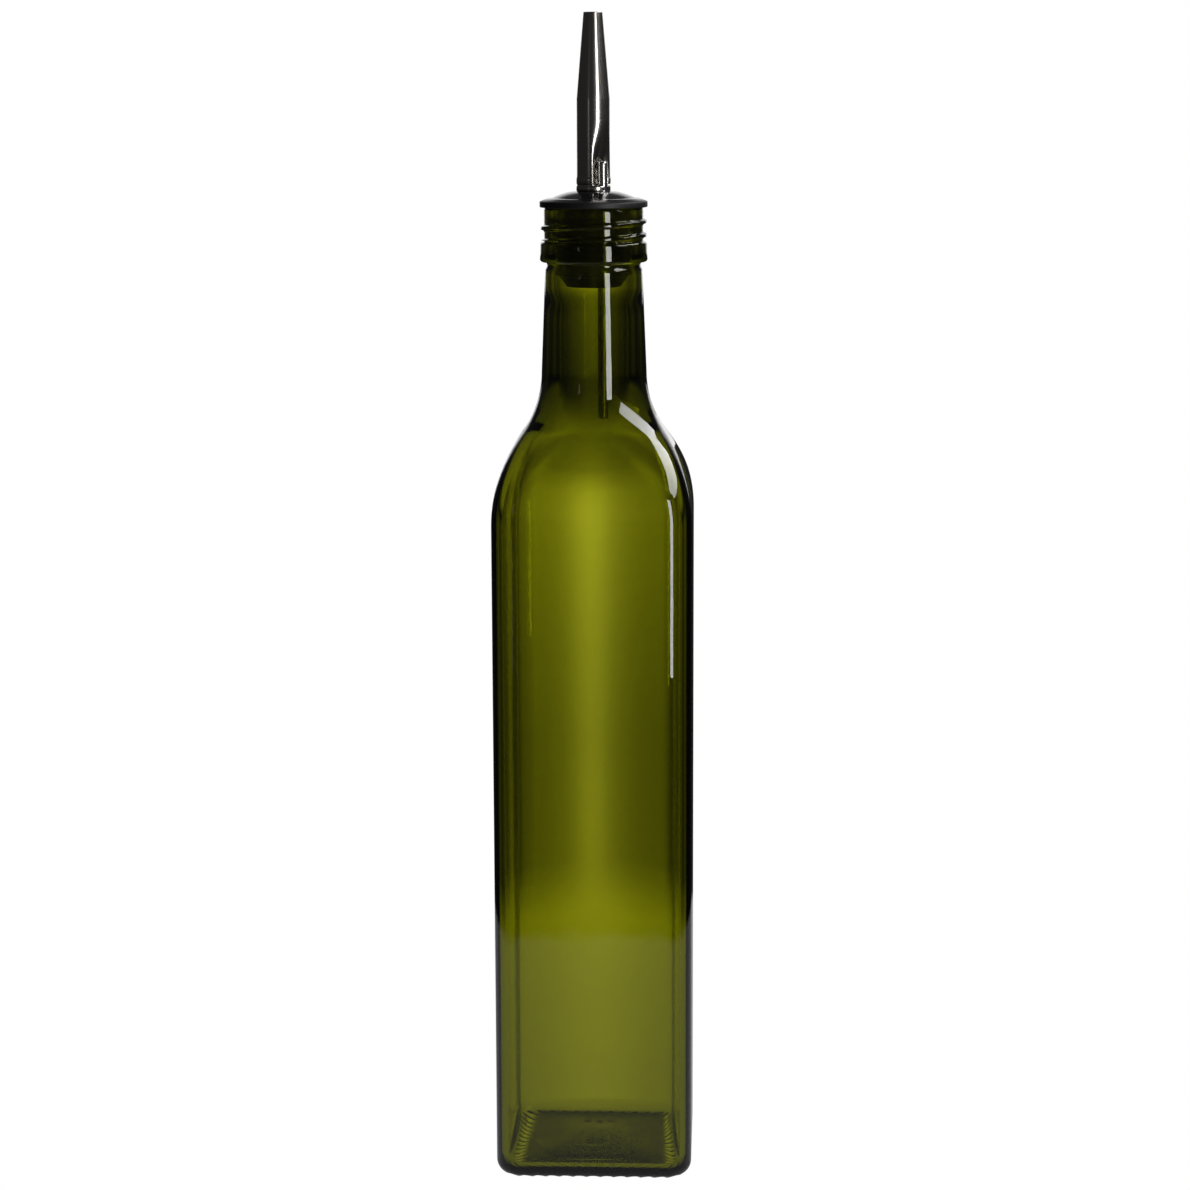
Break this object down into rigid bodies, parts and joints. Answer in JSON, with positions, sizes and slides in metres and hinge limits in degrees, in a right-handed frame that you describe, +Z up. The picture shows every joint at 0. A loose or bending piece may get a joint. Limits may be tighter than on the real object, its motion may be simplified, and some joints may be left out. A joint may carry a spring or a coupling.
{
  "type": "glass oil bottle",
  "caption": "Tall square green glass oil bottle with a screw finish and a lift-off pourer: ribbed stopper, tapered steel spout and vent tube.",
  "frame": {"origin": "centre of the square base, on the surface that the bottle stands on", "axes": "+Z up along the bottle's axis; X and Y square to the flat sides"},
  "size_m": [0.056, 0.056, 0.3289],
  "materials": {
    "green_glass": "clear olive green, fire polished",
    "black_rubber": "moulded, satin rim and glossy dome",
    "spout_steel": "polished stainless",
    "vent_steel": "drawn stainless tube"
  },
  "bodies": {
    "bottle": {"bottle": "green_glass"},
    "pourer": {"stopper": "black_rubber", "spout": "spout_steel", "vent_tube": "vent_steel"}
  },
  "joints": [
    {"name": "pourer_lift", "type": "slide", "parent": "bottle", "child": "pourer", "axis": [0, 0, 1], "range_m": [0, 0.075]}
  ]
}
